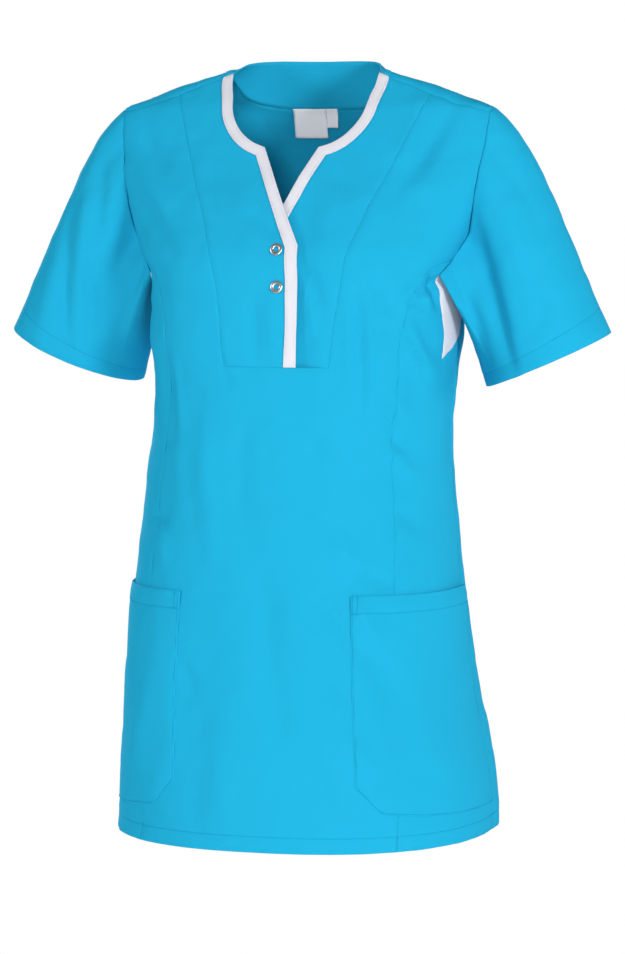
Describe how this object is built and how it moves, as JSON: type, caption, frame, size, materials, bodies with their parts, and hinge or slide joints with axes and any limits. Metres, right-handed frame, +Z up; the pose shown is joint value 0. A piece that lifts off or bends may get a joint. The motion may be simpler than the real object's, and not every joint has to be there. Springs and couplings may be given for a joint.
{
  "type": "scrub top",
  "caption": "Short-sleeved women's scrub tunic with a notched neck, white trim, a snap placket and two large hip pockets, filled out as worn.",
  "frame": {"origin": "middle of the neck opening at the height of the neck points of the shoulders, where the wearer's neck holds the garment up", "axes": "+Z up, front of the garment towards -Y, wearer's left towards +X"},
  "size_m": [0.616, 0.3216, 0.7613],
  "materials": {
    "cloth_turquoise": "matte cotton and polyester twill",
    "cloth_white": "matte white twill",
    "snap_metal": "satin ring press studs",
    "label_white": "woven satin tape, bare"
  },
  "bodies": {
    "root": {"front": "cloth_turquoise", "bib_right": "cloth_turquoise", "bib_left": "cloth_turquoise", "side_front_right": "cloth_turquoise", "side_front_left": "cloth_turquoise", "back": "cloth_turquoise", "gusset_right": "cloth_white", "gusset_left": "cloth_white", "sleeve_right": "cloth_turquoise", "sleeve_left": "cloth_turquoise", "collar": "cloth_turquoise", "trim_right": "cloth_white", "trim_left": "cloth_white", "pocket_right": "cloth_turquoise", "pocket_left": "cloth_turquoise", "snap_upper": "snap_metal", "snap_lower": "snap_metal", "label": "label_white", "size_tag": "label_white"}
  },
  "joints": []
}
